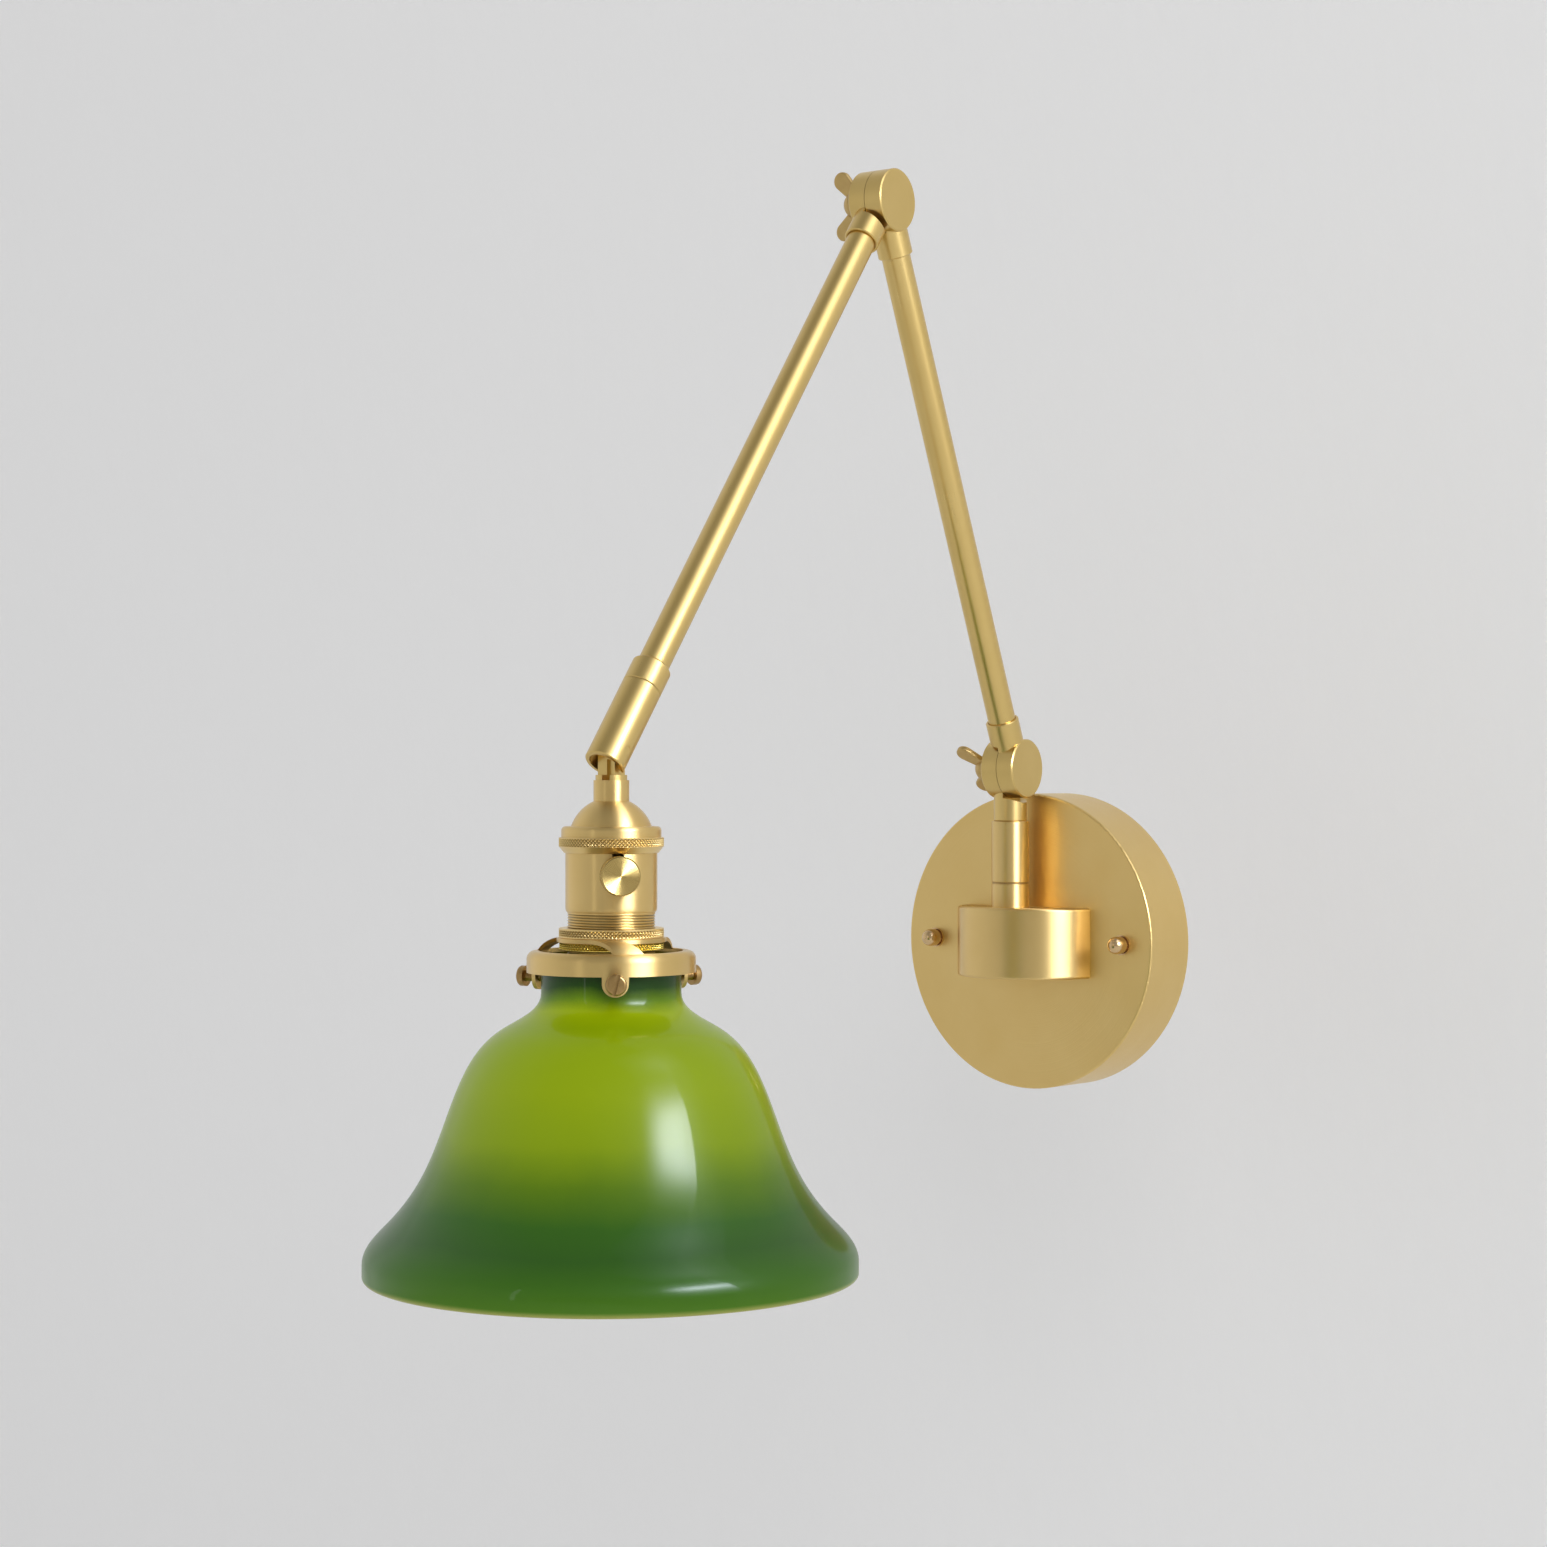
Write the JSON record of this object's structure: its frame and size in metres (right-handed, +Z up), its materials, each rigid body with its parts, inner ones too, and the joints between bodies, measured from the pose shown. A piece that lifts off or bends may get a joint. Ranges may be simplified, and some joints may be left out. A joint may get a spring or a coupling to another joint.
{
  "type": "swing arm wall lamp",
  "caption": "Wall lamp with a round canopy, a swivelling stem, jointed tube arms locked by wing nuts, and a tilting lampholder under a flared green glass bell shade.",
  "frame": {"origin": "middle of the canopy on the wall, halfway between the two wall screw slots", "axes": "X along the wall, +Y into the wall, +Z up; the lamp reaches out towards -Y"},
  "size_m": [0.1808, 0.4064, 0.4325],
  "materials": {
    "satin_brass": "satin, fine brushed and lacquered",
    "plated_steel": "zinc plated",
    "dark_fibre": "pressed fibre washer",
    "white_ceramic": "matt porcelain",
    "black_plastic": "moulded",
    "green_glass": "glossy cased glass, deep green where it is thick"
  },
  "bodies": {
    "wall_mount": {"wall_canopy": "satin_brass", "mounting_bracket": "plated_steel", "canopy_studs": "plated_steel", "cap_nuts": "satin_brass", "earth_screw": "satin_brass", "swivel_hub": "satin_brass", "hub_screws": "plated_steel", "stem_stub": "satin_brass", "stub_locknut": "plated_steel", "swivel_washer": "dark_fibre", "swivel_nut": "plated_steel"},
    "swivel_stem": {"stem_sleeve": "satin_brass", "lower_knuckle_base": "satin_brass"},
    "lower_arm": {"lower_knuckle_arm": "satin_brass", "upper_knuckle_arm": "satin_brass", "lower_arm_tube": "satin_brass", "lower_pivot_stud": "plated_steel", "upper_pivot_stud": "plated_steel", "lower_friction_washer": "dark_fibre", "upper_friction_washer": "dark_fibre"},
    "lower_wing": {"lower_wing_nut": "satin_brass"},
    "upper_wing": {"upper_wing_nut": "satin_brass"},
    "forearm": {"upper_knuckle_forearm": "satin_brass", "forearm_tube": "satin_brass", "cup_collar": "satin_brass", "cup_retainer": "plated_steel"},
    "cup": {"tilt_cup": "satin_brass", "tilt_pin": "plated_steel"},
    "lamp_head": {"tilt_spigot": "satin_brass", "socket_cap": "satin_brass", "cap_ring": "satin_brass", "socket_shell": "satin_brass", "socket_insulator": "white_ceramic", "screw_shell": "satin_brass", "centre_contact": "satin_brass", "switch_body": "black_plastic", "upper_shade_ring": "satin_brass", "lower_shade_ring": "satin_brass", "shade_gallery": "satin_brass", "gallery_screws": "satin_brass", "glass_shade": "green_glass"},
    "switch": {"switch_knob": "satin_brass", "switch_shaft": "plated_steel"}
  },
  "joints": [
    {"name": "base_swivel", "type": "hinge", "parent": "wall_mount", "child": "swivel_stem", "pos_m": [0, -0.0417, 0], "axis": [0, 0, -1], "range_deg": [-86, 90]},
    {"name": "lower_hinge", "type": "hinge", "parent": "swivel_stem", "child": "lower_arm", "pos_m": [0, -0.0417, 0.07595], "axis": [0.9977, 0.068, 0], "range_deg": [-29, 90]},
    {"name": "lower_wing_turn", "type": "hinge", "parent": "lower_arm", "child": "lower_wing", "pos_m": [0, -0.0417, 0.07595], "axis": [-0.9977, -0.068, 0], "range_deg": [0, 240]},
    {"name": "upper_hinge", "type": "hinge", "parent": "lower_arm", "child": "forearm", "pos_m": [0.00685, -0.14218, 0.30869], "axis": [-0.9977, -0.068, 0], "range_deg": [-2, 180]},
    {"name": "upper_wing_turn", "type": "hinge", "parent": "lower_arm", "child": "upper_wing", "pos_m": [0.00685, -0.14218, 0.30869], "axis": [-0.9977, -0.068, 0], "range_deg": [0, 240]},
    {"name": "head_swivel", "type": "hinge", "parent": "forearm", "child": "cup", "pos_m": [0.0187, -0.31598, 0.08249], "axis": [-0.0415, 0.6087, 0.7923], "range_deg": [-150, 150]},
    {"name": "head_tilt", "type": "hinge", "parent": "cup", "child": "lamp_head", "pos_m": [0.0187, -0.31598, 0.08249], "axis": [0.9977, 0.068, 0], "range_deg": [-36, 52]},
    {"name": "switch_turn", "type": "hinge", "parent": "lamp_head", "child": "switch", "pos_m": [0.0187, -0.31598, 0.03699], "axis": [0.7869, -0.617, 0], "continuous": true}
  ]
}
